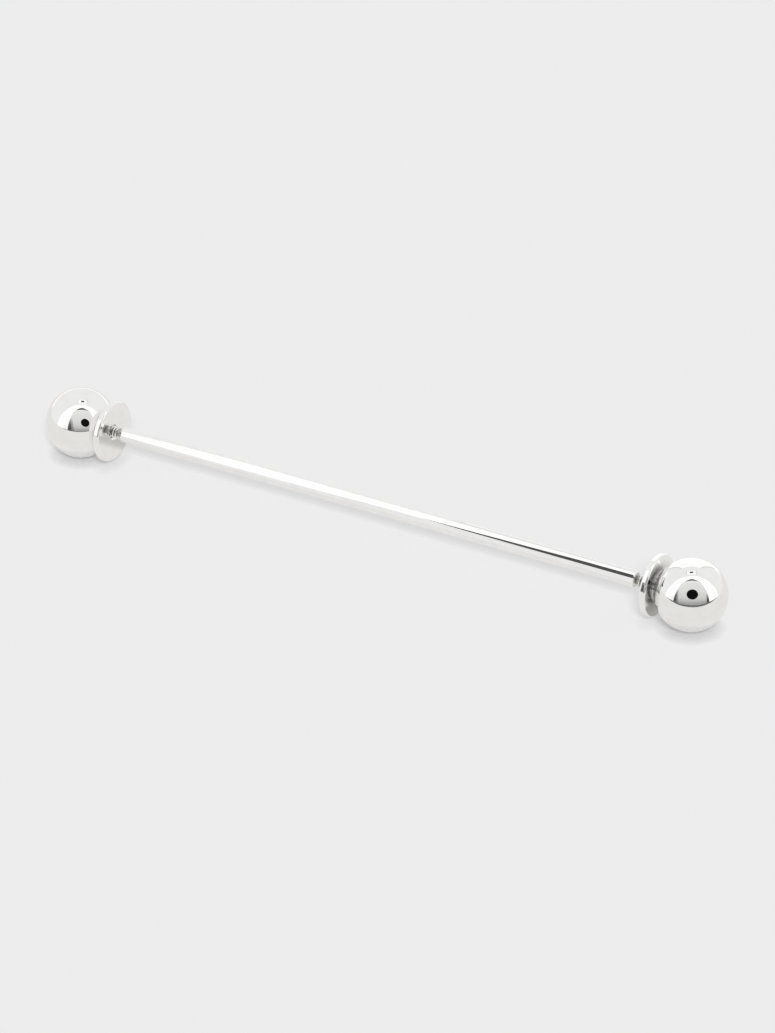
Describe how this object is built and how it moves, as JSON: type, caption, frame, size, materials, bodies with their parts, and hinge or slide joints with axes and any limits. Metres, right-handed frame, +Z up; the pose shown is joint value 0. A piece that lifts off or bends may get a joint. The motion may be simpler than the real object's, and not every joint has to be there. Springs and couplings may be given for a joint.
{
  "type": "collar bar",
  "caption": "Straight polished wire bar with a right-hand thread on each end and a screw-on ball with a thin collar plate on each thread.",
  "frame": {"origin": "on the surface the bar lies on, under the middle of its length", "axes": "+X along the bar towards the right-hand ball, +Y away from the front of the picture, +Z up"},
  "size_m": [0.059, 0.0054, 0.0055],
  "materials": {
    "polished_silver": "mirror polished",
    "brass": "machined"
  },
  "bodies": {
    "bar": {"bar_rod": "polished_silver"},
    "left_carrier": {"left_thread_sleeve": "brass"},
    "left_knob": {"left_ball": "polished_silver", "left_collar_plate": "polished_silver"},
    "right_carrier": {"right_thread_sleeve": "brass"},
    "right_knob": {"right_ball": "polished_silver", "right_collar_plate": "polished_silver"}
  },
  "joints": [
    {"name": "left_knob_travel", "type": "slide", "parent": "bar", "child": "left_carrier", "axis": [-1, 0, 0], "range_m": [-0.00075, 0.0025]},
    {"name": "left_knob_turn", "type": "hinge", "parent": "left_carrier", "child": "left_knob", "pos_m": [-0.0267, 0, 0.00275], "axis": [-1, 0, 0], "range_deg": [-1080, 3600]},
    {"name": "right_knob_travel", "type": "slide", "parent": "bar", "child": "right_carrier", "axis": [1, 0, 0], "range_m": [-0.00135, 0.0019]},
    {"name": "right_knob_turn", "type": "hinge", "parent": "right_carrier", "child": "right_knob", "pos_m": [0.0267, 0, 0.00275], "axis": [1, 0, 0], "range_deg": [-1944, 2736]}
  ],
  "couplings": [
    {"joint": "left_knob_turn", "follows": "left_knob_travel", "rad_per_m": 25133},
    {"joint": "right_knob_turn", "follows": "right_knob_travel", "rad_per_m": 25133}
  ]
}
